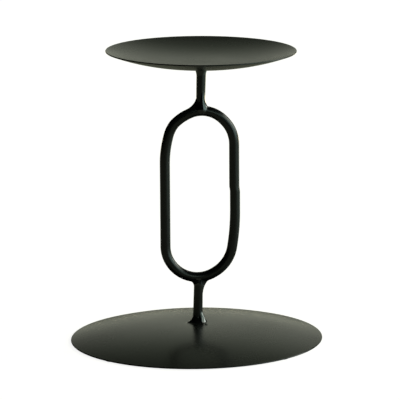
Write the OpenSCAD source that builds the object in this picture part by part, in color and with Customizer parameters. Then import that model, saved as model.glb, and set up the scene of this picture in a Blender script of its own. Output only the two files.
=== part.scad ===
// A welded steel candlestick. A shallow dished plate for a pillar candle stands on
// a long ring of bent round bar, and the ring stands on a wide domed base.
// +Z is up and the front faces -Y. The origin is on the floor, under the middle of
// the base. The column is set by eye, so its pieces lean a little to the right.

/* [Base] */
// Diameter of the base over its rim
base_d = 150; // [130:1:190]
// Height of the flat crown of the base above its rim
base_rise = 9.6; // [6:0.2:14]
// Diameter of the flat crown, which the foot is welded to
base_flat_d = 15; // [14.6:0.2:24]
// Thickness of the sheet of the base
base_sheet = 0.8; // [0.6:0.1:1.5]
// Height of the rim above the floor
rim_lift = 0.6; // [0.4:0.1:1.5]

/* [Felt pads] */
// Diameter of a felt pad
pad_d = 8; // [6:0.5:12]
// Distance from the outside of the rim to the edge of a pad
pad_inset = 1.5; // [1:0.5:6]

/* [Ring] */
// Thickness of the round bar
bar_d = 6; // [5:0.1:8]
// Height of the ring over the outside of the bar
ring_height = 106.4; // [90:0.1:140]
// Width of the ring over the outside of the bar
ring_width = 47; // [42:0.5:56]
// Radius of the bend that leads from the right side into the crown
lead_r = 20; // [18:0.5:24]
// Angle of that bend, in degrees
lead_turn = 45; // [36:1:54]
// Angle of the bend under the upper stem, in degrees
crown_turn = 71; // [60:1:80]
// Radius of the soft stretch to the left of the upper stem
soft_r = 26; // [20:1:40]
// Angle of that stretch, in degrees
soft_turn = 15; // [8:1:20]
// Radius of the short tight bend that follows it
tight_r = 11.5; // [9:0.5:18]
// Angle of that tight bend, in degrees
tight_turn = 20; // [10:1:24]
// Radius of the soft bend between the crown and the left side
shoulder_r = 62; // [45:1:75]
// Angle of that soft bend, in degrees
shoulder_turn = 15; // [8:1:22]
// Radius of the bend that carries the sole round to the right
heel_r = 21.6; // [18:0.1:25]
// Angle of that bend, in degrees
heel_turn = 50; // [40:1:60]
// Radius of the last soft bend, which leads up into the right side
run_out_r = 135; // [100:1:180]
// Angle of the last soft bend, in degrees
run_out_turn = 9; // [4:1:12]
// Straight that is left between two bends
bend_gap = 1; // [0.5:0.5:3]
// Height of the butt weld above the middle of the ring
butt_height = 3.5; // [0:0.5:8]
// Length of the butt weld between the two ends of the bar
butt_len = 4; // [2:0.5:8]
// Sideways step between the two ends of the bar
butt_step = 0.4; // [0:0.1:1]

/* [Stems] */
// Length of the lower stem between the base and the ring
lower_stem_len = 24; // [20:0.5:50]
// Length of the upper stem between the ring and the plate
upper_stem_len = 24; // [20:0.5:50]
// Thickness of a stem at the base and at the plate
stem_d = 5.8; // [4.8:0.1:6.4]
// Thickness of a stem at the ring, where it is ground down
stem_ground_d = 5.2; // [4.6:0.1:5.8]

/* [Plate] */
// Diameter of the candle plate over its rim
plate_d = 112.5; // [90:0.5:140]
// Depth that the plate is dished below its rim
plate_rise = 8.4; // [5:0.2:12]
// Diameter of the flat in the middle of the plate, where a candle stands
plate_flat_d = 18; // [17:0.5:30]
// Thickness of the sheet of the plate
plate_sheet = 0.8; // [0.6:0.1:1.5]

/* [Stance] */
// Distance of the foot from the middle of the base, to the right
foot_shift = 0.8; // [-1:0.1:1]
// Lean of the lower stem to the right, in degrees
lower_lean = 1.8; // [-2.5:0.1:2.5]
// Lean of the ring to the right, in degrees
ring_lean = 0.4; // [-2:0.1:2]
// Lean of the upper stem to the right, in degrees
upper_lean = 2; // [-2.5:0.1:2.5]
// Lean of the plate to the right, in degrees
plate_lean = 0.7; // [-2:0.1:2]
// Distance along the bar from the lowest point of the ring to the lower stem
sole_shift = 0.7; // [-2:0.1:2]
// Distance along the bar from the highest point of the ring to the upper stem
crown_shift = 0.8; // [-2:0.1:2]
// Distance from the upper stem to the middle of the plate, to the right
plate_shift = -0.2; // [-1:0.1:1]

/* [Welds] */
// Height of a bead's blunt toe above the steel it lies on
toe_h = 0.12; // [0.08:0.02:0.2]
// Foot bead, reach up the stem on the right, the left and the two sides
foot_up_right = 10; // [5:0.5:11]
foot_up_left = 4.8; // [2:0.2:6]
foot_up_side = 3.6; // [2:0.2:6]
// Foot bead, reach over the base on the right, the left and the two sides
foot_out_right = 3.6; // [1.5:0.1:4]
foot_out_left = 2.6; // [1.5:0.1:3.6]
foot_out_side = 2.2; // [1:0.1:3]
// Hollow of the foot bead, as a share of the way to the corner behind it
foot_hollow_share = 0.7; // [0.5:0.1:1]
// Share by which the foot bead swells and shrinks on its way round
foot_ripple_share = 0.06; // [0:0.02:0.1]
// Extra reach of the thin spill of weld metal over the base
spill_out = 3; // [0:0.5:4]
// Direction of the spill, in degrees from the right over the back
spill_turn = 213; // [190:1:240]
// Height above the base of the drop that hangs on the foot bead
drop_height = 7.6; // [6:0.2:8.4]
// How far the drop stands out, and how deep the hollow under it goes
drop_swell = 0.5; // [0:0.1:0.8]
drop_hollow = 0.25; // [0:0.05:0.3]
// Lower ring bead, reach down the stem on the right, the left and the two sides
sole_up_right = 8.6; // [4:0.2:10]
sole_up_left = 3.2; // [1.6:0.2:5]
sole_up_side = 2.4; // [1:0.2:4]
// Lower ring bead, reach along the bar to the right and to the left
sole_out_right = 3.9; // [3:0.1:10]
sole_out_left = 2.4; // [1:0.2:5]
// Hollow of the lower ring bead, as a share of the way to the corner behind it
sole_hollow_share = 0.8; // [0.5:0.1:1]
// Upper ring bead, reach up the stem on the right, the left and the two sides
crown_up_right = 5; // [3:0.5:8]
crown_up_left = 5.6; // [3:0.2:8]
crown_up_side = 2.4; // [1:0.2:4]
// Upper ring bead, reach along the bar to the right and to the left
crown_out_right = 1.6; // [1:0.1:5]
crown_out_left = 6; // [3:0.2:10]
// Hollow of the upper ring bead, as a share of the way to the corner behind it
crown_hollow_share = 1; // [0.5:0.1:1]
// Plate bead, reach down the stem and out under the plate
plate_weld_up = 6.8; // [3:0.2:8]
plate_weld_out = 4.8; // [2:0.2:5]
// Hollow of the plate bead, as a share of the way to the corner behind it
plate_hollow_share = 0.8; // [0.5:0.1:1]

/* [Hidden] */

steel_colour = [0.13, 0.14, 0.13];
felt_colour = [0.2, 0.2, 0.2];

$fn = 72;
// Facets of a full turn, and of the large circles that the sheets are bent to
turn_fn = 360;
sheet_fn = 900;
// Columns round a bead, and rows down its flank
bead_columns = 48;
bead_rows = 12;
// The rows lie closer towards the stem, where a bead is long and thin
row_power = 1.3;
// Width of the spill in degrees, and of the drop and its hollow
spill_width = 13;
drop_width = 1.2;
hollow_width = 0.9;
// Direction of the drop, a little in front of the right
drop_turn = 350;
// Length that a rod or a bead runs into the piece that then cuts it
overrun = 0.3;
// A bend comes out a hair thicker than the bar, and the straights lap into it
bend_swell = 0.03;
bend_lap = 0.05;

pad_count = 4;
// Direction of the first pad, so that none sits straight in front
pad_turn = 45;

bar_r = bar_d / 2;
base_top = rim_lift + base_rise + base_sheet;

// Distance between the centre lines of the ring's two sides
side_gap = ring_width - bar_d;
// Height of the butt weld's upper end above the middle of the ring
butt_top = butt_height + butt_len / 2;
// Half the height of the ring's centre line
half_height = ring_height / 2 - bar_r;

// Way to the left and up that rows of a bending table lead, from a heading. Each row
// holds a straight, the radius of the bend after it, and its angle. The heading is 0
// straight up and grows as the bar turns to the left.
function way(rows, heading, n = 0) =
    n == len(rows) ? [0, 0]
    : let (next = heading + rows[n][2])
        rows[n][0] * [sin(heading), cos(heading)]
        + rows[n][1] * [cos(heading) - cos(next), sin(next) - sin(heading)]
        + way(rows, next, n + 1);

// Radius that makes a run of bends lead sideways by span, from the ways that it leads
// with the radius at 0 and at 1
function closing_r(none, one, span) = (span - none[0]) / (one[0] - none[0]);

// The crown leads from the right side to the left side. Its own radius, which it
// takes up again after the tight bend, is the one that spans the width of the ring.
crown_end_turn = 180 - lead_turn - crown_turn - soft_turn - tight_turn - shoulder_turn;
function crown_bends(r) = [
    [0, lead_r, lead_turn],
    [bend_gap, r, crown_turn],
    [bend_gap, soft_r, soft_turn],
    [bend_gap, tight_r, tight_turn],
    [bend_gap, r, crown_end_turn],
    [bend_gap, shoulder_r, shoulder_turn]
];
crown_r = closing_r(way(crown_bends(0), 0), way(crown_bends(1), 0), side_gap);

// The sole leads back to the right side, to the lower end of the butt weld.
sole_turn = 180 - heel_turn - run_out_turn;
function sole_bends(r) = [
    [0, r, sole_turn],
    [bend_gap, heel_r, heel_turn],
    [bend_gap, run_out_r, run_out_turn]
];
sole_r = closing_r(way(sole_bends(0), 180), way(sole_bends(1), 180), -side_gap - butt_step);

// Heights where the crown and the sole start, counted from the middle of the ring
crown_start = half_height - lead_r * sin(lead_turn) - bend_gap * cos(lead_turn)
    - crown_r * (1 - sin(lead_turn));
sole_start = sole_r - half_height;

// Rows with a straight put before the first of them
function after(straight, rows) = [for (n = [0:len(rows) - 1])
    [rows[n][0] + (n == 0 ? straight : 0), rows[n][1], rows[n][2]]];

// Bending table of the bar. It starts on top of the butt weld, on the right side.
left_len = crown_start + way(crown_bends(crown_r), 0)[1] - sole_start;
right_len = butt_top - butt_len - sole_start - way(sole_bends(sole_r), 180)[1];
bends = concat(
    after(crown_start - butt_top, crown_bends(crown_r)),
    after(left_len, sole_bends(sole_r)),
    [[right_len, 0, 0]]
);

function arc_len(radius, turn) = radius * turn * PI / 180;

// Length of the bar over the first rows of the table
function bar_len(rows, n = 0) =
    n < rows ? bends[n][0] + arc_len(bends[n][1], bends[n][2]) + bar_len(rows, n + 1) : 0;

// Distances along the bar to where the stems meet it
crown_s = bar_len(1) + bend_gap + arc_len(crown_r, 90 - lead_turn) + crown_shift;
sole_s = bar_len(len(crown_bends(0))) + left_len + arc_len(sole_r, 90) + sole_shift;

// Place and heading on the centre line of the bar at the distance s along it
function along(s, row = 0, at = [0, 0], heading = 0) =
    let (
        straight = bends[row][0],
        radius = bends[row][1],
        turn = bends[row][2],
        bend_at = at + straight * [-sin(heading), cos(heading)],
        hub = bend_at - radius * [cos(heading), sin(heading)],
        left = s - straight,
        on_bend = heading + left / max(radius, bar_r) * 180 / PI,
        next = heading + turn
    )
    left <= 0 ? [at + s * [-sin(heading), cos(heading)], heading]
    : left <= arc_len(radius, turn) || row == len(bends) - 1
        ? [hub + radius * [cos(on_bend), sin(on_bend)], on_bend]
    : along(left - arc_len(radius, turn), row + 1, hub + radius * [cos(next), sin(next)], next);

// Point at the distance r from the bar's centre line, at the angle v away from the
// outside of the ring towards the back
function bar_point(s, v, r) =
    let (spot = along(s), out = [cos(spot[1]), sin(spot[1])], flat = spot[0] + r * cos(v) * out)
    [flat[0], r * sin(v), flat[1]];

sole_point = bar_point(sole_s, 0, 0);
crown_point = bar_point(crown_s, 0, 0);

// Frames of the column, from the floor up
module at_foot() translate([foot_shift, 0, base_top]) rotate([0, lower_lean, 0]) children();
module at_ring()
    at_foot() translate([0, 0, lower_stem_len + bar_r])
        rotate([0, ring_lean - lower_lean, 0]) translate(-sole_point) children();
module at_crown()
    at_ring() translate(crown_point) rotate([0, upper_lean - ring_lean, 0]) children();
module at_plate()
    at_crown() translate([0, 0, bar_r + upper_stem_len])
        rotate([0, plate_lean - upper_lean, 0]) translate([plate_shift, 0, 0]) children();

// Bow of the curved flank of a dish, from the run and the height that it spans
function flank_run(diameter, flat_d, sheet) = (diameter - sheet - flat_d) / 2;
function flank_bow(run, rise) = (run * run + rise * rise) / (2 * rise);

// A disc pressed into a dome: a flat crown, a flank on one arc, and a rounded edge.
// Its lowest line, under the edge, lies at z = 0.
module pressed_disc(diameter, rise, flat_d, sheet) {
    run = flank_run(diameter, flat_d, sheet);
    bow = flank_bow(run, rise);
    slope = asin(run / bow);
    rotate_extrude($fn = turn_fn) translate([0, sheet / 2]) {
        translate([0, rise - sheet / 2]) square([flat_d / 2, sheet]);
        translate([flat_d / 2, rise - bow]) intersection() {
            difference() {
                circle(bow + sheet / 2, $fn = sheet_fn);
                circle(bow - sheet / 2, $fn = sheet_fn);
            }
            polygon([[0, 0], [0, 2 * bow], 2 * bow * [sin(slope), cos(slope)]]);
        }
        translate([flat_d / 2 + run, 0]) circle(d = sheet);
    }
}

// One bend of the bar. It starts at the origin heading up and turns to the left.
module bend(radius, turn)
    translate([-radius, 0, 0]) rotate([90, 0, 0])
        rotate_extrude(angle = turn, $fn = turn_fn)
            translate([radius, 0]) circle(d = bar_d + bend_swell);

// The bar from one row of the bending table to its end
module bent_bar(row = 0) {
    if (row < len(bends)) {
        straight = bends[row][0];
        radius = bends[row][1];
        turn = bends[row][2];
        lap_before = row > 0 ? bend_lap : 0;
        lap_after = turn > 0 ? bend_lap : 0;
        translate([0, 0, -lap_before])
            cylinder(h = lap_before + straight + lap_after, d = bar_d);
        translate([0, 0, straight]) {
            if (turn > 0) bend(radius, turn);
            translate([-radius, 0, 0]) rotate([0, -turn, 0]) translate([radius, 0, 0])
                bent_bar(row + 1);
        }
    }
}

// Rods that the stems are cut from
module lower_rod()
    at_foot() translate([0, 0, -overrun])
        cylinder(h = lower_stem_len + bar_r + overrun, d1 = stem_d, d2 = stem_ground_d);
module upper_rod()
    at_crown() cylinder(h = bar_r + upper_stem_len + overrun, d1 = stem_ground_d, d2 = stem_d);

// Reach of a bead in the direction phi, from its reach to the right, left and sides
function reach(phi, to) = to[2] + ((cos(phi) > 0 ? to[0] : to[1]) - to[2]) * pow(cos(phi), 2);

// Height of a bell of height 1 at the distance off from its middle
function bell(off, width) = exp(-pow(off / width, 2));

// Sum of the swells at the point p. Each one holds its middle, its width and how far
// it stands out, which is less than 0 for a hollow.
function swell_at(p, swells, n = 0) =
    n < len(swells)
        ? swells[n][2] * bell(norm(p - swells[n][0]), swells[n][1]) + swell_at(p, swells, n + 1)
        : 0;

// A bead between a loop on the stem and a loop on the piece that the stem stands
// on. Its flank is hollow, drawn towards the corner between the two by the share
// hollow, and the root loop closes it inside that piece.
module bead(top, corner, toe, root, top_hub, root_hub, hollow, swells = []) {
    chord = (top + toe) / 2;
    bow = chord + hollow * (corner - chord);
    away = [for (p = corner) (p - root_hub) / norm(p - root_hub)];
    flank = [for (j = [0:bead_rows], i = [0:bead_columns - 1])
        let (
            t = pow(j / bead_rows, row_power),
            p = pow(1 - t, 2) * top[i] + 2 * t * (1 - t) * bow[i] + t * t * toe[i]
        )
        p + swell_at(p, swells) * away[i]];
    points = concat(flank, root, [top_hub, root_hub]);
    top_at = len(points) - 2;
    root_at = len(points) - 1;
    last = (bead_rows + 1) * bead_columns;
    faces = concat(
        [for (j = [0:bead_rows], i = [0:bead_columns - 1], half = [0, 1])
            let (
                next = (i + 1) % bead_columns,
                a = j * bead_columns + i,
                b = j * bead_columns + next,
                c = b + bead_columns,
                d = a + bead_columns
            )
            half == 0 ? [a, b, c] : [a, c, d]],
        [for (i = [0:bead_columns - 1]) [top_at, (i + 1) % bead_columns, i]],
        [for (i = [0:bead_columns - 1]) [root_at, last + i, last + (i + 1) % bead_columns]]
    );
    polyhedron(points, faces);
}

// Directions round a bead
bead_turns = [for (i = [0:bead_columns - 1]) 360 * i / bead_columns];

// Point on a stem at the height h and the direction phi. up is 1 where the stem
// rises from the bead and -1 where it hangs from it, and lean is its own lean.
function stem_point(h, r, phi, up, lean) =
    up * h * [sin(lean), 0, cos(lean)] + r * cos(phi) * [cos(lean), 0, -sin(lean)]
    + [0, up * r * sin(phi), 0];

// Bead between a stem and the flat of a sheet that lies at z = 0. ups and outs hold
// its reach along the stem and over the sheet, to the right, left and sides.
module sheet_weld(up, lean, ups, outs, hollow, ripple_share = 0, spill = 0, swells = []) {
    stem_r = stem_d / 2;
    legs = [for (phi = bead_turns) let (ripple = 1 + ripple_share * sin(7 * phi))
        [ripple * reach(phi, ups),
            ripple * reach(phi, outs) + spill * bell(phi - spill_turn, spill_width)]];
    base_h = [for (phi = bead_turns) up * stem_r * tan(lean) * cos(phi)];
    top = [for (i = [0:bead_columns - 1])
        stem_point(base_h[i] + legs[i][0], stem_r + toe_h, bead_turns[i], up, lean)];
    corner = [for (i = [0:bead_columns - 1])
        stem_point(base_h[i] + toe_h, stem_r + toe_h, bead_turns[i], up, lean)];
    toe = [for (i = [0:bead_columns - 1]) let (r = stem_r + legs[i][1], phi = bead_turns[i])
        [r * cos(phi), up * r * sin(phi), up * toe_h]];
    root = [for (p = toe) [p[0], p[1], -up * overrun]];
    bead(top, corner, toe, root, stem_point((ups[0] + ups[1]) / 2, 0, 0, up, lean),
        [0, 0, -up * overrun], hollow, swells);
}

// Bead between a stem and the outside of the ring, at the distance s along the bar.
// ups and outs hold its reach along the stem and along the bar.
module ring_weld(s, up, lean, ups, outs, hollow) {
    stem_r = stem_ground_d / 2;
    meet = bar_point(s, 0, 0);
    // How far round the bar the bead reaches beside the stem
    toe_r = (stem_r + bar_r) / 2;
    function v_at(r, phi) = asin(max(-1, min(1, r * sin(phi) / bar_r)));
    run = [for (phi = bead_turns) (stem_r + reach(phi, outs)) * cos(phi)];
    corner = [for (phi = bead_turns)
        bar_point(s - up * stem_r * cos(phi), up * v_at(stem_r, phi), bar_r + toe_h)];
    top = [for (i = [0:bead_columns - 1]) let (phi = bead_turns[i],
        h = (corner[i] - meet) * stem_point(1, 0, 0, up, lean) + reach(phi, ups))
        meet + stem_point(h, stem_r + toe_h, phi, up, lean)];
    toe = [for (i = [0:bead_columns - 1])
        bar_point(s - up * run[i], up * v_at(toe_r, bead_turns[i]), bar_r + toe_h)];
    root = [for (i = [0:bead_columns - 1])
        bar_point(s - up * run[i], up * v_at(toe_r, bead_turns[i]), bar_r - overrun)];
    bead(top, corner, toe, root,
        meet + stem_point(bar_r + (ups[0] + ups[1]) / 2, 0, 0, up, lean), meet, hollow);
}

// The sub-parts

module base_dish()
    color(steel_colour)
        translate([0, 0, rim_lift]) pressed_disc(base_d, base_rise, base_flat_d, base_sheet);

module ring_bar() color(steel_colour) at_ring() bent_bar();

module candle_plate()
    color(steel_colour)
        at_plate() translate([0, 0, plate_rise + plate_sheet]) mirror([0, 0, 1])
            pressed_disc(plate_d, plate_rise, plate_flat_d, plate_sheet);

module lower_stem()
    color(steel_colour) difference() {
        lower_rod();
        base_dish();
        ring_bar();
    }

module upper_stem()
    color(steel_colour) difference() {
        upper_rod();
        candle_plate();
        ring_bar();
    }

module foot_weld() {
    drop_at = stem_point(drop_height, stem_d / 2, drop_turn, 1, lower_lean);
    under_at = stem_point(drop_height - drop_width, stem_d / 2, drop_turn, 1, lower_lean);
    color(steel_colour) difference() {
        translate([foot_shift, 0, base_top])
            sheet_weld(1, lower_lean, [foot_up_right, foot_up_left, foot_up_side],
                [foot_out_right, foot_out_left, foot_out_side], foot_hollow_share,
                foot_ripple_share, spill_out,
                [[drop_at, drop_width, drop_swell], [under_at, hollow_width, -drop_hollow]]);
        lower_rod();
        base_dish();
    }
}

module plate_weld()
    color(steel_colour) difference() {
        at_plate() translate([-plate_shift, 0, 0])
            sheet_weld(-1, upper_lean - plate_lean, [plate_weld_up, plate_weld_up, plate_weld_up],
                [plate_weld_out, plate_weld_out, plate_weld_out], plate_hollow_share);
        upper_rod();
        candle_plate();
    }

module lower_ring_weld()
    color(steel_colour) difference() {
        at_ring()
            ring_weld(sole_s, -1, lower_lean - ring_lean,
                [sole_up_right, sole_up_left, sole_up_side], [sole_out_right, sole_out_left, 0],
                sole_hollow_share);
        lower_rod();
        ring_bar();
    }

module upper_ring_weld()
    color(steel_colour) difference() {
        at_ring()
            ring_weld(crown_s, 1, upper_lean - ring_lean,
                [crown_up_right, crown_up_left, crown_up_side],
                [crown_out_right, crown_out_left, 0], crown_hollow_share);
        upper_rod();
        ring_bar();
    }

// The butt weld fills the gap between the bar's two ends and is ground flush, so
// it runs over from one end to the other where they are out of line.
module ring_butt_weld() {
    rows = 8;
    columns = 36;
    points = concat(
        [for (j = [0:rows], i = [0:columns - 1])
            let (t = j / rows, ease = t * t * (3 - 2 * t), phi = 360 * i / columns)
            [butt_step * (1 - ease) + bar_r * cos(phi), bar_r * sin(phi), butt_len * (t - 1)]]
    );
    faces = concat(
        [for (j = [0:rows - 1], i = [0:columns - 1], half = [0, 1])
            let (
                a = j * columns + i,
                b = j * columns + (i + 1) % columns
            )
            half == 0 ? [a, a + columns, b + columns] : [a, b + columns, b]],
        [[for (i = [0:columns - 1]) i]],
        [[for (i = [columns - 1:-1:0]) rows * columns + i]]
    );
    color(steel_colour) at_ring() polyhedron(points, faces);
}

// A felt pad lies flat on the floor, and its top is bedded against the slope of the
// base.
module felt_pad(number) {
    run = flank_run(base_d, base_flat_d, base_sheet);
    bow = flank_bow(run, base_rise);
    place = base_d / 2 - pad_inset - pad_d / 2;
    color(felt_colour) intersection() {
        rotate([0, 0, pad_turn + 360 * number / pad_count]) translate([place, 0, 0])
            cylinder(h = base_top, d = pad_d);
        translate([0, 0, rim_lift + base_sheet / 2]) rotate_extrude($fn = turn_fn)
            intersection() {
                translate([base_flat_d / 2, base_rise - bow])
                    circle(bow - base_sheet / 2, $fn = sheet_fn);
                translate([0, -rim_lift - base_sheet / 2]) square([base_d / 2, base_top]);
            }
    }
}

base_dish();
lower_stem();
ring_bar();
upper_stem();
candle_plate();
foot_weld();
lower_ring_weld();
ring_butt_weld();
upper_ring_weld();
plate_weld();
for (number = [1:pad_count])
    felt_pad(number);
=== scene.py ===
import math

import bpy
import numpy as np
from mathutils import Matrix, Vector, noise


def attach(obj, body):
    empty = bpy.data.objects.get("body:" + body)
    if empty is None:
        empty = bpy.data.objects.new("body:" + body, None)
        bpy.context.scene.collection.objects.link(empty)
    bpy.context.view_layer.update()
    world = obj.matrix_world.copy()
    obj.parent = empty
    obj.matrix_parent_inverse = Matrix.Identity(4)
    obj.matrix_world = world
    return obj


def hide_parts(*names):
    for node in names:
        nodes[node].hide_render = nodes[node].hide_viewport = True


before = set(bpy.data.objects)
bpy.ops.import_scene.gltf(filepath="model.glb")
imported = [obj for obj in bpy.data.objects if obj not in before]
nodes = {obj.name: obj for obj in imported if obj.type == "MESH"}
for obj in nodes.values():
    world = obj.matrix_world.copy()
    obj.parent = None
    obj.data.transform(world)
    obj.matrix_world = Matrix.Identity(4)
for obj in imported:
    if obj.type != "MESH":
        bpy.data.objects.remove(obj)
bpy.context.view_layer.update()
scene = bpy.context.scene

# The base is one disc of steel sheet, pressed to a shallow dome and powder coated.
# The coat is a dark grey with a green cast. It is satin, with the fine grain that
# baked powder has, and it lies a little unevenly over the large face.


class Wire:
    """One output of a material's nodes, which takes part in sums as a number does."""

    def __init__(self, sheet, socket):
        self.sheet = sheet
        self.socket = socket

    def sum(self, operation, *values):
        return self.sheet.add("ShaderNodeMath", {"operation": operation}, list(values))

    def __add__(self, other):
        return self.sum("ADD", self, other)

    def __sub__(self, other):
        return self.sum("SUBTRACT", self, other)

    def __rsub__(self, other):
        return self.sum("SUBTRACT", other, self)

    def __mul__(self, other):
        return self.sum("MULTIPLY", self, other)

    __radd__ = __add__
    __rmul__ = __mul__


class Sheet:
    """The nodes of one material or of the world."""

    def __init__(self, owner):
        owner.use_nodes = True
        self.tree = owner.node_tree
        self.tree.nodes.clear()

    def add(self, kind, settings=None, inputs=None, output=0):
        node = self.tree.nodes.new(kind)
        for name, value in (settings or {}).items():
            setattr(node, name, value)
        pairs = inputs.items() if isinstance(inputs, dict) else enumerate(inputs or [])
        for place, value in pairs:
            if isinstance(value, Wire):
                self.tree.links.new(value.socket, node.inputs[place])
            elif value is not None:
                node.inputs[place].default_value = value
        return Wire(self, node.outputs[output]) if node.outputs else node

    def part(self, wire, name):
        return Wire(self, wire.socket.node.outputs[name])

    def step(self, value, low, high, to_low=0.0, to_high=1.0):
        return self.add(
            "ShaderNodeMapRange",
            {"interpolation_type": "SMOOTHSTEP"},
            [value, low, high, to_low, to_high],
        )

    def noise(self, place, scale, detail=2.0, roughness=0.5):
        return self.add(
            "ShaderNodeTexNoise",
            {"noise_dimensions": "3D"},
            {"Vector": place, "Scale": scale, "Detail": detail, "Roughness": roughness},
        )

    def blend(self, share, first, second):
        mixed = self.add("ShaderNodeMix", {"data_type": "RGBA"}, {"Factor": share})
        for place, value in ((6, first), (7, second)):
            socket = mixed.socket.node.inputs[place]
            if isinstance(value, Wire):
                self.tree.links.new(value.socket, socket)
            else:
                socket.default_value = (*value, 1.0)
        return Wire(self, mixed.socket.node.outputs[2])


def powder_coat(name, colour, dust_colour, gloss_spread, orange_peel, waviness, thick=0.0):
    """A baked powder coat: its grain, its faint unevenness and a breath of dust. The
    orange peel and the waviness are heights in metres. Where the coat ran together
    thickly it has a second gloss, from 0 to 1."""
    waves_per_metre, clouds_per_metre = 22.0, 38.0
    specks_per_metre, grains_per_metre = 900.0, 2600.0
    cloudy_gloss, grainy_gloss = 0.10, 0.05
    grain_share = 0.35
    dusty_tilts, dusty_clouds, dusty_specks = (0.2, 1.0), (0.35, 0.75), (0.45, 0.7)
    noise_middle = 0.5
    material = bpy.data.materials.new(name)
    coat = Sheet(material)
    place = coat.add("ShaderNodeTexCoord", output="Object")
    facing = coat.add("ShaderNodeNewGeometry", output="Normal")
    up = coat.add("ShaderNodeSeparateXYZ", inputs=[facing], output=2)
    cloud = coat.noise(place, clouds_per_metre, detail=4.0)
    speck = coat.noise(place, specks_per_metre, detail=3.0, roughness=0.6)
    grit = coat.noise(place, grains_per_metre, detail=1.0)
    wave = coat.noise(place, waves_per_metre, detail=1.0)
    dust = coat.step(up, *dusty_tilts) * coat.step(cloud, *dusty_clouds) \
        * coat.step(speck, *dusty_specks)
    base_colour = coat.blend(dust, colour, dust_colour)
    cloudy, grainy = cloud - noise_middle, grit - noise_middle
    roughness = gloss_spread + cloudy * cloudy_gloss + grainy * grainy_gloss
    peel = (speck - noise_middle) * orange_peel + grainy * orange_peel * grain_share
    height = (wave - noise_middle) * waviness + peel
    relief = coat.add(
        "ShaderNodeBump",
        inputs={"Strength": 1.0, "Distance": 1.0, "Height": height},
    )
    skin = coat.add(
        "ShaderNodeBsdfPrincipled",
        inputs={
            "Base Color": base_colour, "Roughness": roughness, "IOR": 1.5, "Normal": relief,
            "Coat Weight": thick, "Coat Roughness": gloss_spread,
        },
    )
    coat.add("ShaderNodeOutputMaterial", inputs={"Surface": skin})
    return material


dish_coat = powder_coat(
    "dish_coat", (0.005, 0.0055, 0.0048), (0.020, 0.021, 0.018), 0.26, 0.000012, 0.00006
)


def dress(piece, material):
    """Gives a piece of the frame its material, and smooth faces."""
    piece.data.materials.clear()
    piece.data.materials.append(material)
    for face in piece.data.polygons:
        face.use_smooth = True


dress(nodes["base_dish"], dish_coat)

# The felt pads are stamped from a sheet of dark grey wool felt. They are stuck on under
# the rim of the base, and keep its steel edge off the table.

felt = bpy.data.materials.new("felt")
wool = Sheet(felt)
wool_place = wool.add("ShaderNodeTexCoord", output="Object")
fibres_per_metre, nap = 1800.0, 0.0002
fibres = wool.noise(wool_place, fibres_per_metre, detail=5.0, roughness=0.7)
wool_relief = wool.add(
    "ShaderNodeBump", inputs={"Strength": 1.0, "Distance": 1.0, "Height": fibres * nap}
)
wool_skin = wool.add(
    "ShaderNodeBsdfPrincipled",
    inputs={
        "Base Color": wool.blend(fibres, (0.02, 0.02, 0.02), (0.09, 0.09, 0.085)),
        "Roughness": 0.95,
        "Normal": wool_relief,
    },
)
wool.add("ShaderNodeOutputMaterial", inputs={"Surface": wool_skin})
for number in range(1, 5):
    dress(nodes[f"felt_pad_{number}"], felt)

# The lower stem is a short length of round steel rod. Its upper end is ground down a
# little and coped to the round of the ring. It leans to the right by less than two
# degrees, and it has the same powder coat as all the bar work.

bar_coat = powder_coat(
    "bar_coat", (0.003, 0.0034, 0.0034), (0.009, 0.010, 0.010), 0.26, 0.000010, 0.00002
)
dress(nodes["lower_stem"], bar_coat)

# The foot weld is the bead that holds the lower stem on the base. It was laid by hand
# and left as it came. It climbs furthest up the stem on the right, its flank is nearly
# straight in front, and a thin spill runs out over the base on the left.

weld_coat = powder_coat(
    "weld_coat", (0.003, 0.0034, 0.0036), (0.009, 0.010, 0.010), 0.11, 0.000016, 0.0001, thick=0.7
)


def slope(gap, points):
    """Direction in which a gap grows, at each of the points."""
    step = 1e-4
    ways = [(gap(points + step * way) - gap(points - step * way)) for way in np.eye(3)]
    ways = np.stack(ways, -1)
    return ways / np.linalg.norm(ways, axis=-1, keepdims=True)


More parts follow.
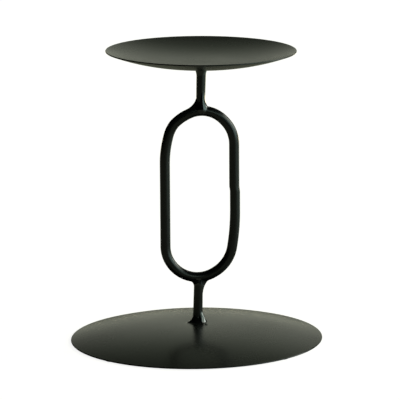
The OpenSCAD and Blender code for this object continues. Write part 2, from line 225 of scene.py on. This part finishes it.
class Joint:
    """Where a stem meets other steel. Lengths are in millimetres, from a core inside
    the joint: to the right, to the back, and along the stem away from the joint. The
    bead ends at the root depth under the steel."""

    root_depth = 0.6

    def __init__(self, core, lean, outward, stem_r, taper, stem_from=0.0):
        lean = math.radians(lean)
        self.core = np.array(core)
        self.axes = np.array([
            (math.cos(lean), 0, -math.sin(lean)),
            (0, 1, 0),
            (outward * math.sin(lean), 0, outward * math.cos(lean)),
        ])
        self.stem_r = stem_r
        self.taper = taper
        self.stem_from = stem_from

    def inward(self, place):
        return self.axes @ (np.array(place) - self.core)

    def stem_gap(self, points):
        """Distance of the points from the skin of the stem, which ends in a round."""
        up = points[..., 2] - self.stem_from
        across = np.hypot(points[..., 0], points[..., 1])
        return np.hypot(across, np.minimum(up, 0)) - self.stem_r - self.taper * np.maximum(up, 0)

    def on_sheet(self, place, normal):
        """The stem meets the flat of a sheet, through a place on it."""
        place, normal = self.inward(place), self.axes @ np.array(normal)
        self.steel_gap = lambda points: (points - place) @ normal
        self.foot_hub = place - self.root_depth * normal
        return self

    def on_ring(self, hub, radius, bar_r):
        """The stem meets the ring, bent to a radius round a hub."""
        hub = self.inward(hub)

        def steel_gap(points):
            from_hub = np.hypot(points[..., 0] - hub[0], points[..., 2] - hub[2])
            return np.hypot(from_hub - radius, points[..., 1]) - bar_r

        self.steel_gap = steel_gap
        self.foot_hub = np.zeros(3)
        return self

    def weld(self, name, marks, lumps=(), rough=0.05, seed=0):
        """A bead round the joint. Each mark holds a direction in degrees, 0 to the right
        and 90 to the back, with the reach along the stem, the reach over the steel, and
        the hollow of the flank, which is 1 for a straight one and 2 for a round one.
        Each lump holds its direction, its height over the core, width and swell."""
        turn_step, soft_turn, bell_half = 0.5, 5.0, 40
        around = np.arange(0.0, 360.0, turn_step)
        marks = np.array(marks, float)
        bell = np.exp(-((np.arange(-bell_half, bell_half + 1) * turn_step / soft_turn) ** 2) / 2)
        bell /= bell.sum()
        reach = []
        for values in marks.T[1:]:
            plain = np.interp(around, marks[:, 0], values, period=360)
            looped = np.concatenate((plain[-bell_half:], plain, plain[:bell_half]))
            reach.append(np.convolve(looped, bell, "valid"))

        def filled(points):
            turns = np.degrees(np.arctan2(points[..., 1], points[..., 0]))
            up = np.interp(turns, around, reach[0], period=360)
            out = np.interp(turns, around, reach[1], period=360)
            hollow = np.interp(turns, around, reach[2], period=360)
            near_stem = np.maximum(0, 1 - self.stem_gap(points) / out)
            near_steel = np.maximum(0, 1 - self.steel_gap(points) / up)
            return near_stem ** hollow + near_steel ** hollow > 1

        def cast(ways):
            """Points where lines from the core leave the steel and the bead."""
            surely_within, surely_beyond, halvings = 0.3, 20.0, 36
            near = np.full(ways.shape[:-1], surely_within)
            far = np.full(ways.shape[:-1], surely_beyond)
            for _ in range(halvings):
                middle = (near + far) / 2
                within = filled(middle[..., None] * ways)
                near = np.where(within, middle, near)
                far = np.where(within, far, middle)
            return near[..., None] * ways

        def ways(tilts, turns):
            return np.stack(
                (np.sin(tilts) * np.cos(turns), np.sin(tilts) * np.sin(turns), np.cos(tilts)), -1
            )

        columns, rows = 96, 30
        first_tilt, last_tilt, tilt_step = 6.0, 118.0, 0.5
        bare = 0.012
        turns = np.radians(np.arange(columns) * 360.0 / columns)
        tilts = np.radians(np.arange(first_tilt, last_tilt, tilt_step))
        trial = cast(ways(*np.meshgrid(tilts, turns, indexing="ij")))
        free = (self.stem_gap(trial) > bare) & (self.steel_gap(trial) > bare)
        loops = np.empty((rows, columns, 3))
        for column in range(columns):
            open_rows = np.flatnonzero(free[:, column])
            path = trial[open_rows[0] - 1:open_rows[-1] + 2, column]
            strides = np.linalg.norm(np.diff(path, axis=0), axis=1)
            way_along = np.concatenate(([0], np.cumsum(strides)))
            path_tilts = tilts[open_rows[0] - 1:open_rows[-1] + 2]
            even = np.interp(np.linspace(0, way_along[-1], rows), way_along, path_tilts)
            loops[:, column] = cast(ways(even, np.full(rows, turns[column])))

        share = np.linspace(0, 1, rows)[:, None]
        window = np.sin(np.pi * share) ** 0.8
        swell = np.zeros(loops.shape[:2])
        for turn, height, width, size in lumps:
            turn = math.radians(turn)
            middle = (self.stem_r * math.cos(turn), self.stem_r * math.sin(turn), height)
            apart = np.linalg.norm(loops - middle, axis=-1)
            swell += size * np.exp(-((apart / width) ** 2))
        ripples_per_mm, seed_gap = 0.9, 7.3
        for row in range(rows):
            for column in range(columns):
                place = Vector(loops[row, column]) * ripples_per_mm
                place.x += seed * seed_gap
                swell[row, column] += rough * noise.noise(place) * window[row, 0]
        mixed = (1 - share)[..., None] * slope(self.stem_gap, loops) \
            + share[..., None] * slope(self.steel_gap, loops)
        mixed /= np.linalg.norm(mixed, axis=-1, keepdims=True)
        loops = loops + swell[..., None] * mixed

        def sunk(row, gap, depth, onward):
            """A loop beyond an end of the bead, under the skin of the steel."""
            edge, before = (loops[0], loops[1]) if row == 0 else (loops[-1], loops[-2])
            heading = edge - before
            heading /= np.linalg.norm(heading, axis=-1, keepdims=True)
            moved = edge + onward * heading
            skin = slope(gap, moved)
            return moved - skin * (gap(moved)[..., None] + depth)

        toe = {"depth": 0.03, "onward": 0.4}
        root = {"depth": self.root_depth, "onward": 0.6}
        loops = np.concatenate((
            [sunk(0, self.stem_gap, **root), sunk(0, self.stem_gap, **toe)],
            loops,
            [sunk(-1, self.steel_gap, **toe), sunk(-1, self.steel_gap, **root)],
        ))
        points = loops.reshape(-1, 3)
        top_hub = loops[0].mean(axis=0)
        points = np.concatenate((points, [top_hub, self.foot_hub]))
        places = (self.core + points @ self.axes) * 0.001
        count = len(loops)
        faces = []
        for row in range(count - 1):
            for column in range(columns):
                after = (column + 1) % columns
                a, b = row * columns + column, row * columns + after
                faces.append((a, a + columns, b + columns, b))
        last = (count - 1) * columns
        for column in range(columns):
            after = (column + 1) % columns
            faces.append((count * columns, column, after))
            faces.append((count * columns + 1, last + after, last + column))
        if self.axes[2][2] < 0:
            faces = [face[::-1] for face in faces]
        mesh = bpy.data.meshes.new(name)
        mesh.from_pydata([tuple(place) for place in places], [], faces)
        mesh.materials.append(weld_coat)
        mesh.shade_smooth()
        piece = bpy.data.objects.new(name + "_bead", mesh)
        scene.collection.objects.link(piece)
        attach(piece, "root")
        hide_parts(name)


def further(place, lean, length):
    """The place that lies further up a stem which leans to the right."""
    lean = math.radians(lean)
    return (place[0] + length * math.sin(lean), 0.0, place[2] + length * math.cos(lean))


lower_lean = 1.8
stem_len = 24.0
stem_r = 2.9
ground_stem_r = 2.6
stem_taper = 0.0111
core_depth = 1.2
foot_at = (0.8, 0.0, 11.0)
foot = Joint(further(foot_at, lower_lean, -core_depth), lower_lean, 1, stem_r, -stem_taper)
foot.on_sheet(foot_at, (0, 0, 1))
foot.weld(
    "foot_weld",
    [(0, 6.8, 3.1, 1.3), (30, 6.2, 2.5, 1.8), (60, 4.6, 2.3, 1.9), (90, 3.2, 2.0, 2),
     (150, 3.6, 2.2, 2), (180, 5.0, 2.5, 2), (196, 4.4, 2.5, 2), (212, 4.4, 6.6, 1.6),
     (227, 4.0, 2.8, 1.5), (250, 3.0, 2.7, 1.15), (286, 3.0, 2.7, 1.15), (304, 5.5, 2.8, 1.1),
     (320, 5.9, 2.6, 1.0), (336, 6.0, 2.7, 1.0), (350, 6.4, 3.0, 1.2)],
    [(335, 8.1, 0.45, -0.3), (186, 8.0, 1.6, 0.2), (170, 5.8, 1.0, 0.15), (200, 3.6, 0.7, 0.2)],
    rough=0.07, seed=1,
)


def spatter(name, place, size, seed):
    """A drop of weld metal that stuck to the steel, half sunk in it. Lengths in mm."""
    turns, rows = 20, 12
    unevenness, lumps_across, seed_gap = 0.45, 1.6, 5.1

    def point(row, column):
        height, turn = math.pi * row / rows, 2 * math.pi * column / turns
        out = math.sin(height)
        way = Vector((out * math.cos(turn), out * math.sin(turn), math.cos(height)))
        reach = 1 + unevenness * noise.noise(way * lumps_across + Vector((seed * seed_gap, 0, 0)))
        return [0.001 * (place[axis] + size[axis] * reach * way[axis]) for axis in range(3)]

    points = [point(row, column) for row in range(1, rows) for column in range(turns)]
    points += [point(0, 0), point(rows, 0)]
    last = (rows - 2) * turns
    faces = []
    for column in range(turns):
        after = (column + 1) % turns
        faces.append((last + turns, column, after))
        faces.append((last + turns + 1, last + after, last + column))
        for row in range(0, last, turns):
            faces.append((row + column, row + turns + column, row + turns + after, row + after))
    mesh = bpy.data.meshes.new(name)
    mesh.from_pydata(points, [], faces)
    mesh.materials.append(weld_coat)
    mesh.shade_smooth()
    piece = bpy.data.objects.new(name, mesh)
    scene.collection.objects.link(piece)
    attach(piece, "root")


spatter("foot_spatter", (5.9, -9.0, 10.9), (0.8, 0.7, 0.6), 1)

# The ring is one length of round bar, bent cold to a long loop. Its crown and sole are
# tight bends, and the left side and the right side run nearly straight.

dress(nodes["ring_bar"], bar_coat)

# The butt weld closes the ring on its right side. It is ground flush, but the two ends
# of the bar are a little out of line, and the step can still be seen.

dress(nodes["ring_butt_weld"], bar_coat)

# The lower ring weld joins the lower stem to the sole of the ring. On the right it
# runs far down the stem in one long hollow flank, and on the left it stays short.

bar_r = 3.0
stem_round_from = 1.4
sole_at = further(foot_at, lower_lean, stem_len + bar_r)
sole_r = 18.82
sole_shift = -0.57
sole = Joint(sole_at, lower_lean, -1, ground_stem_r, stem_taper, stem_round_from)
sole.on_ring((sole_at[0] + sole_shift, 0.0, sole_at[2] + sole_r), sole_r, bar_r)
sole.weld(
    "lower_ring_weld",
    [(0, 8.6, 3.9, 1.9), (12, 8.4, 3.6, 1.9), (25, 7.0, 2.0, 2), (45, 4.5, 1.0, 2),
     (90, 2.6, 0.7, 2), (135, 2.6, 1.0, 2), (160, 2.8, 1.6, 2), (180, 3.2, 2.4, 2),
     (200, 2.8, 1.6, 2), (225, 2.6, 1.0, 2), (270, 2.6, 0.7, 2), (315, 4.5, 1.0, 2),
     (335, 7.0, 2.0, 2), (348, 8.4, 3.6, 1.9)],
    rough=0.05, seed=2,
)

# The upper stem is the same rod as the lower one, ground down and coped to the crown
# of the ring. It leans to the right by two degrees.

dress(nodes["upper_stem"], bar_coat)

# The upper ring weld joins the upper stem to the crown of the ring. It is full on the
# left. On the right it climbs the stem in front only, and leaves a sharp notch between
# the stem and the bar behind.

upper_lean = 2.0
crown_at = (4.027, 0.0, 138.341)
crown_r = 17.59
crown_shift = 0.68
crown = Joint(crown_at, upper_lean, 1, ground_stem_r, stem_taper, stem_round_from)
crown.on_ring((crown_at[0] + crown_shift, 0.0, crown_at[2] - crown_r), crown_r, bar_r)
crown.weld(
    "upper_ring_weld",
    [(0, 5.4, 1.9, 1.6), (20, 4.0, 1.2, 1.8), (45, 2.8, 0.8, 2), (90, 2.6, 0.7, 2),
     (135, 4.0, 1.2, 2), (160, 5.4, 2.6, 2), (180, 6.0, 6.4, 2), (200, 5.4, 2.6, 2),
     (225, 4.0, 1.2, 2), (262, 4.0, 1.0, 1.8), (276, 8.0, 1.9, 1.45), (290, 10.0, 2.2, 1.4),
     (308, 10.0, 2.2, 1.75), (326, 9.6, 2.4, 2.1), (345, 7.5, 2.4, 2.4)],
    rough=0.05, seed=3,
)

# The candle plate is a second disc, pressed to a shallow dish. A pillar candle stands
# on the flat in its middle.

dress(nodes["candle_plate"], dish_coat)

# The plate weld joins the upper stem to the underside of the plate. It is an even
# hollow bead, a little rough all over.

plate_lean = math.radians(0.7)
plate_at = further(crown_at, upper_lean, stem_len + bar_r)
plate = Joint(further(plate_at, upper_lean, core_depth), upper_lean, -1, stem_r, -stem_taper)
plate.on_sheet(plate_at, (-math.sin(plate_lean), 0.0, -math.cos(plate_lean)))
plate.weld(
    "plate_weld",
    [(0, 5.6, 4.0, 2), (90, 5.2, 3.9, 2), (180, 6.4, 4.4, 2), (270, 5.8, 4.2, 2)],
    rough=0.08, seed=4,
)

# The photograph is taken from just above the plate, with a long lens. The camera is
# turned by less than a degree, and its frame is moved a little off the column.

picture_size = 400
aim = Vector((0.0, 0.0, 0.0906))
aim_seen_at = (194.612, 190.358)
camera_distance = 1.9368
camera_height_angle = math.radians(11.272)
camera_roll = math.radians(-0.768)
focal_pixels = 3271.46

back = Vector((0.0, -math.cos(camera_height_angle), math.sin(camera_height_angle)))
level_right = Vector((1.0, 0.0, 0.0))
level_up = back.cross(level_right)
right = math.cos(camera_roll) * level_right + math.sin(camera_roll) * level_up
up = math.cos(camera_roll) * level_up - math.sin(camera_roll) * level_right
camera_data = bpy.data.cameras.new("camera")
camera = bpy.data.objects.new("camera", camera_data)
scene.collection.objects.link(camera)
turned = Matrix((right, up, back)).transposed().to_4x4()
camera.matrix_world = Matrix.Translation(aim + camera_distance * back) @ turned
camera_data.sensor_width = 36.0
camera_data.lens = focal_pixels / picture_size * camera_data.sensor_width
camera_data.shift_x = 0.5 - aim_seen_at[0] / picture_size
camera_data.shift_y = aim_seen_at[1] / picture_size - 0.5
camera_data.clip_start = 0.05
camera_data.clip_end = 30.0
scene.camera = camera

# The floor is a pale sheet of paper. The camera sees it as white, and the shadow of the
# base on it is so faint that it hardly shows. Far behind the object, and in a patch on the
# right, it carries a painted glow, which the object sees as pools of light on the paper.

floor_half = 1.5
floor_mesh = bpy.data.meshes.new("floor")
floor_mesh.from_pydata(
    [(-floor_half, -floor_half, 0), (floor_half, -floor_half, 0),
     (floor_half, floor_half, 0), (-floor_half, floor_half, 0)], [], [(0, 1, 2, 3)],
)
floor = bpy.data.objects.new("floor", floor_mesh)
scene.collection.objects.link(floor)
paper = bpy.data.materials.new("paper")
paper_sheet = Sheet(paper)
seen = paper_sheet.add("ShaderNodeLightPath", output="Is Camera Ray")
paper_place = paper_sheet.add(
    "ShaderNodeSeparateXYZ", inputs=[paper_sheet.add("ShaderNodeTexCoord", output="Object")]
)


def toward(turn):
    """How many metres the paper has gone in one direction, which turns from the back to
    the right."""
    turn = math.radians(turn)
    along_x, along_y = paper_sheet.part(paper_place, "X"), paper_sheet.part(paper_place, "Y")
    return along_x * math.sin(turn) + along_y * math.cos(turn)


def glow(colour, strength, share):
    """Light that the paper gives off where its share is 1."""
    light = paper_sheet.add(
        "ShaderNodeEmission", inputs={"Color": (*colour, 1.0), "Strength": strength}
    )
    return paper_sheet.add("ShaderNodeMixShader", inputs=[share, None, light])


paper_face = paper_sheet.add("ShaderNodeBsdfDiffuse", inputs={"Color": (0.44, 0.41, 0.34, 1.0)})
paper_glow = paper_sheet.add("ShaderNodeEmission", inputs={"Color": (1, 1, 1, 1), "Strength": 0.90})
# Painted light: the paper glows far behind and on the right, though it is no lamp.
far_rise, right_glow_rise = (0.5, 1.3), (0.13, 0.3)
far_glow = glow((1.0, 0.87, 0.58), 3.8, paper_sheet.step(toward(15), *far_rise))
right_painted_glow = glow((0.75, 1.0, 0.86), 0.41, paper_sheet.step(toward(78), *right_glow_rise))
glows = paper_sheet.add("ShaderNodeAddShader", inputs=[far_glow, right_painted_glow])
lit = paper_sheet.add("ShaderNodeAddShader", inputs=[paper_face, glows])
both = paper_sheet.add("ShaderNodeAddShader", inputs=[paper_face, paper_glow])
paper_sheet.add(
    "ShaderNodeOutputMaterial",
    inputs={"Surface": paper_sheet.add("ShaderNodeMixShader", inputs=[seen, lit, both])},
)
floor_mesh.materials.append(paper)

# The room is dark on the left and dim in front. A pale wall stands behind, and wide
# window light comes from the right. The camera sees the room as white.

world = bpy.data.worlds.new("room")
scene.world = world
room = Sheet(world)
way = room.add("ShaderNodeTexCoord", output="Generated")
split = room.add("ShaderNodeSeparateXYZ", inputs=[way])


def lobe(turn, height, width, colour, strength):
    """Light from one side. Its angles are in degrees: it turns from the back to the
    right, it rises from the floor, and it fades out at its width."""
    turn, height = math.radians(turn), math.radians(height)
    facing = room.part(split, "X") * (math.sin(turn) * math.cos(height)) \
        + room.part(split, "Y") * (math.cos(turn) * math.cos(height)) \
        + room.part(split, "Z") * math.sin(height)
    light = room.add("ShaderNodeBackground", inputs={"Color": (*colour, 1.0), "Strength": strength})
    share = room.step(facing, math.cos(math.radians(width)), 1.0)
    return room.add("ShaderNodeMixShader", inputs=[share, None, light])


room_light = lobe(10, 5, 35, (0.98, 1.0, 0.86), 0.36)
for more in (
    lobe(0, 0, 18, (0.92, 1.0, 0.73), 0.26),
    lobe(3, 31, 22, (0.87, 1.0, 0.74), 0.22),
    lobe(0, 56, 15, (0.92, 1.0, 0.80), 0.07),
    lobe(72, 15, 14, (0.89, 1.0, 0.93), 4.7),
    lobe(70, 30, 18, (0.95, 1.0, 0.86), 5.2),
    lobe(108, 36, 19, (0.92, 1.0, 0.88), 3.2),
    lobe(138, 34, 18, (0.68, 1.0, 0.90), 1.2),
    lobe(170, 25, 18, (0.76, 1.0, 0.81), 1.1),
    lobe(100, 12, 25, (0.70, 1.0, 0.86), 1.6),
    lobe(122, 9, 19, (0.75, 1.0, 0.98), 1.8),
):
    room_light = room.add("ShaderNodeAddShader", inputs=[room_light, more])
room_seen = room.add("ShaderNodeBackground", inputs={"Color": (1, 1, 1, 1), "Strength": 1.0})
camera_ray = room.add("ShaderNodeLightPath", output="Is Camera Ray")
room.add(
    "ShaderNodeOutputWorld",
    inputs={"Surface": room.add("ShaderNodeMixShader", inputs=[camera_ray, room_light, room_seen])},
)

scene.view_settings.view_transform = "Standard"
